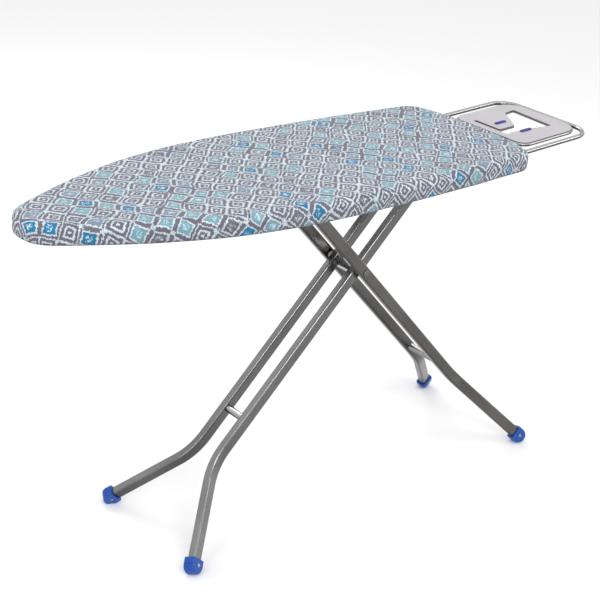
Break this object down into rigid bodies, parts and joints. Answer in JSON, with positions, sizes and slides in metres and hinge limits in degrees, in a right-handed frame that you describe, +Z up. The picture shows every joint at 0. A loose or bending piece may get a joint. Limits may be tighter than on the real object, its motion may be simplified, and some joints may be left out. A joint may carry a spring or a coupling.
{
  "type": "ironing board",
  "caption": "Folding ironing board on crossed tube legs with splayed capped feet, a patterned padded cover, a mesh deck, a sliding height latch and a tubular iron rest with a cut-out plate.",
  "frame": {"origin": "floor level, under the middle of the whole object with its legs open at full height", "axes": "+X runs from the pointed nose to the iron rest, +Y to the left seen from the nose side looking along +X, +Z up"},
  "size_m": [1.5101, 0.455, 0.84],
  "materials": {
    "cover_fabric": "printed woven cotton cover with a padded feel",
    "foam": "felted foam underlay",
    "deck_steel": "expanded steel mesh with a pale powder coat",
    "rim_steel": "folded sheet steel with a pale powder coat",
    "zinc_steel": "zinc plated pressed steel",
    "leg_chrome": "polished chromed steel tube",
    "rest_chrome": "polished chromed steel tube",
    "rest_satin": "satin light grey powder coat",
    "blue_silicone": "soft matte silicone",
    "blue_plastic": "moulded polypropylene",
    "white_plastic": "moulded nylon",
    "dark_plastic": "moulded polypropylene",
    "spring_steel": "bare spring wire"
  },
  "bodies": {
    "board": {"bracket_rivets": "zinc_steel", "cross_brace_front": "rim_steel", "cross_brace_rear": "rim_steel", "deck_panel": "deck_steel", "fabric_cover": "cover_fabric", "foam_pad": "foam", "guide_end_caps": "white_plastic", "leg_hinge_bracket": "zinc_steel", "rest_clamp_left": "zinc_steel", "rest_clamp_right": "zinc_steel", "rest_clamp_screws": "zinc_steel", "rest_inner_loop": "rest_chrome", "rest_outer_loop": "rest_chrome", "rest_plate": "rest_satin", "rest_strip_far": "blue_silicone", "rest_strip_near": "blue_silicone", "rest_support": "rest_chrome", "rest_welds": "rest_chrome", "rim_front_left": "rim_steel", "rim_front_right": "rim_steel", "rim_rear_left": "rim_steel", "rim_rear_right": "rim_steel", "rod_hanger_1": "zinc_steel", "rod_hanger_2": "zinc_steel", "rod_hanger_3": "zinc_steel", "slide_guide_left": "zinc_steel", "slide_guide_right": "zinc_steel"},
    "inner_legs": {"inner_crossbar": "leg_chrome", "inner_foot_left": "blue_plastic", "inner_foot_right": "blue_plastic", "inner_foot_rivets": "leg_chrome", "inner_tube_left": "leg_chrome", "inner_tube_right": "leg_chrome", "pivot_cross_tube": "leg_chrome", "hinge_axle": "zinc_steel", "hinge_nuts": "zinc_steel"},
    "outer_legs": {"outer_crossbar": "leg_chrome", "outer_foot_left": "blue_plastic", "outer_foot_right": "blue_plastic", "outer_foot_rivets": "leg_chrome", "outer_tube_left": "leg_chrome", "outer_tube_right": "leg_chrome", "pivot_rivet_left": "leg_chrome", "pivot_rivet_right": "leg_chrome", "slide_ear_left": "zinc_steel", "slide_ear_right": "zinc_steel", "slide_glide_left": "white_plastic", "slide_glide_right": "white_plastic", "pivot_washers": "white_plastic", "slide_bar": "zinc_steel", "ear_rivets": "zinc_steel"},
    "latch": {"latch_rod": "zinc_steel", "latch_rack": "zinc_steel", "latch_paddle": "dark_plastic", "latch_spring": "spring_steel"}
  },
  "joints": [
    {"name": "leg_fold", "type": "hinge", "parent": "board", "child": "inner_legs", "pos_m": [0.30425, 0, 0.772], "axis": [0, 1, 0], "range_deg": [0, 46.01]},
    {"name": "scissor_pivot", "type": "hinge", "parent": "inner_legs", "child": "outer_legs", "pos_m": [0.10075, 0, 0.5612], "axis": [0, -1, 0], "range_deg": [0, 92.03]},
    {"name": "latch_squeeze", "type": "hinge", "parent": "board", "child": "latch", "pos_m": [-0.06056, 0, 0.793], "axis": [0, -1, 0], "range_deg": [0, 10], "stiffness_Nm_per_rad": 0.4, "springref_deg": -20.05}
  ],
  "couplings": [
    {"joint": "scissor_pivot", "follows": "leg_fold", "ratio": 2}
  ]
}
